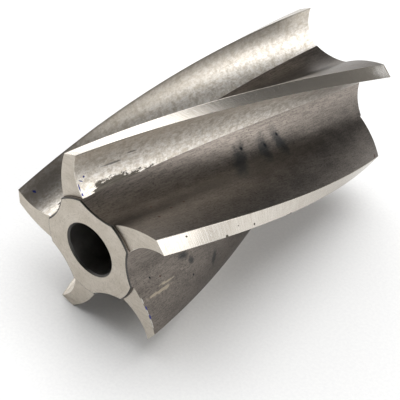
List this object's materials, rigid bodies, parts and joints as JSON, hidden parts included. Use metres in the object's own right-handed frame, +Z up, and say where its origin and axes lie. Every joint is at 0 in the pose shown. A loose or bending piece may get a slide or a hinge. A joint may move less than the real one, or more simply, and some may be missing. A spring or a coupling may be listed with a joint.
{
  "type": "helical milling cutter",
  "caption": "Coarse helical milling cutter with ground lands, deep chip flutes and a plain through bore for an arbor, lying on its side.",
  "frame": {"origin": "centre of the bore at mid-length", "axes": "+Y along the bore from the front hub face to the rear one, +Z up with the cutter lying on its side, +X to the right seen from the front"},
  "size_m": [0.0698, 0.1302, 0.0698],
  "materials": {
    "hub_steel": "turned and ground faces, milled gullets, lightly oxidised",
    "tooth_steel": "ground lands and faces, milled flutes, lightly oxidised"
  },
  "bodies": {
    "root": {"cutter_hub": "hub_steel", "tooth_1": "tooth_steel", "tooth_2": "tooth_steel", "tooth_3": "tooth_steel", "tooth_4": "tooth_steel", "tooth_5": "tooth_steel"}
  },
  "joints": []
}
